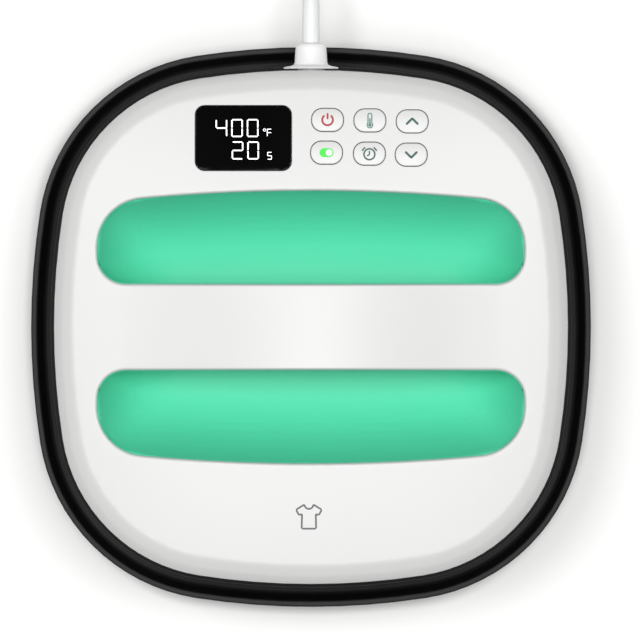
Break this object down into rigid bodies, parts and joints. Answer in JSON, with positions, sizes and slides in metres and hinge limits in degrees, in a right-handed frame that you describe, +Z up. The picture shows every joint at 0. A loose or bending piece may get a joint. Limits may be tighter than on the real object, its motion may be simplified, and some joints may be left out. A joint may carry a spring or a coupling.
{
  "type": "heat press",
  "caption": "Portable square heat press with a bridge handle over a green grip well, digital display and keys, resting in a black safety base, with its mains lead coiled behind.",
  "frame": {"origin": "on the table under the middle of the safety base", "axes": "+Z up out of the handle; +Y to the back, where the mains lead leaves; +X to the right of the user"},
  "size_m": [0.3176, 0.4518, 0.115],
  "materials": {
    "shell_white": "satin, finely textured white moulding",
    "mint": "smooth satin mint green moulding",
    "housing_black": "finely textured black heat-resistant moulding",
    "lens_black": "gloss black lens",
    "key_white": "satin white key with printed symbol",
    "module_dark": "plain dark moulding",
    "board_green": "green lacquered board",
    "relay_blue": "blue case",
    "terminal_grey": "light grey moulding",
    "plate_coating": "cast aluminium with a dark non-stick coating",
    "element_steel": "heat-stained tube",
    "ceramic": "matt ceramic",
    "insulation": "pressed fibre board",
    "bright_steel": "bright zinc plated sheet",
    "screw_steel": "zinc plated",
    "wire_red": "silicone sleeve",
    "wire_white": "silicone sleeve",
    "cord_white": "satin white lead sheath",
    "relief_white": "soft white moulding",
    "tie_black": "hook and loop strap",
    "brass": "bright",
    "mat_grey": "matt silicone mat with a ribbed face",
    "foot_rubber": "matt"
  },
  "bodies": {
    "base": {"base_tray": "housing_black", "base_mat": "mat_grey", "base_foot_back_right": "foot_rubber", "base_foot_back_left": "foot_rubber", "base_foot_front_left": "foot_rubber", "base_foot_front_right": "foot_rubber", "cord_lead": "cord_white", "cord_coil": "cord_white", "cord_tail": "cord_white", "cord_tie": "tie_black", "plug_body": "relief_white", "plug_blade_upper": "brass", "plug_blade_lower": "brass", "plug_ground_pin": "brass"},
    "press": {"upper_shell": "shell_white", "grip_well": "mint", "handle_cover": "mint", "lower_housing": "housing_black", "display_lens": "lens_black", "display_module": "module_dark", "buzzer": "module_dark", "transformer": "module_dark", "cord_clamp": "module_dark", "control_board": "board_green", "power_board": "board_green", "relay": "relay_blue", "terminal_block": "terminal_grey", "ribbon_cable": "terminal_grey", "heating_plate": "plate_coating", "heating_element": "element_steel", "thermal_cutout": "ceramic", "temperature_sensor": "ceramic", "insulation_pad": "insulation", "heat_shield": "bright_steel", "shell_screw_back_right": "screw_steel", "shell_screw_back_left": "screw_steel", "shell_screw_front_left": "screw_steel", "shell_screw_front_right": "screw_steel", "plate_screw_back_right": "screw_steel", "plate_screw_back_left": "screw_steel", "plate_screw_front_left": "screw_steel", "plate_screw_front_right": "screw_steel", "board_screw_1": "screw_steel", "board_screw_2": "screw_steel", "board_screw_3": "screw_steel", "board_screw_4": "screw_steel", "handle_screw_left": "screw_steel", "handle_screw_right": "screw_steel", "heater_wire_left": "wire_red", "heater_wire_right": "wire_white", "mains_lead_inner": "cord_white", "strain_relief": "relief_white"},
    "key_power": {"key_power": "key_white"},
    "key_temperature": {"key_temperature": "key_white"},
    "key_up": {"key_up": "key_white"},
    "key_start": {"key_start": "key_white"},
    "key_timer": {"key_timer": "key_white"},
    "key_down": {"key_down": "key_white"}
  },
  "joints": [
    {"name": "press_lift", "type": "slide", "parent": "base", "child": "press", "axis": [0, 0, 1], "range_m": [0, 0.06]},
    {"name": "key_power_travel", "type": "slide", "parent": "press", "child": "key_power", "axis": [0, 0, -1], "range_m": [0, 0.0008], "stiffness_N_per_m": 400, "springref_m": -0.001},
    {"name": "key_temperature_travel", "type": "slide", "parent": "press", "child": "key_temperature", "axis": [0, 0, -1], "range_m": [0, 0.0008], "stiffness_N_per_m": 400, "springref_m": -0.001},
    {"name": "key_up_travel", "type": "slide", "parent": "press", "child": "key_up", "axis": [0, 0, -1], "range_m": [0, 0.0008], "stiffness_N_per_m": 400, "springref_m": -0.001},
    {"name": "key_start_travel", "type": "slide", "parent": "press", "child": "key_start", "axis": [0, 0, -1], "range_m": [0, 0.0008], "stiffness_N_per_m": 400, "springref_m": -0.001},
    {"name": "key_timer_travel", "type": "slide", "parent": "press", "child": "key_timer", "axis": [0, 0, -1], "range_m": [0, 0.0008], "stiffness_N_per_m": 400, "springref_m": -0.001},
    {"name": "key_down_travel", "type": "slide", "parent": "press", "child": "key_down", "axis": [0, 0, -1], "range_m": [0, 0.0008], "stiffness_N_per_m": 400, "springref_m": -0.001}
  ]
}
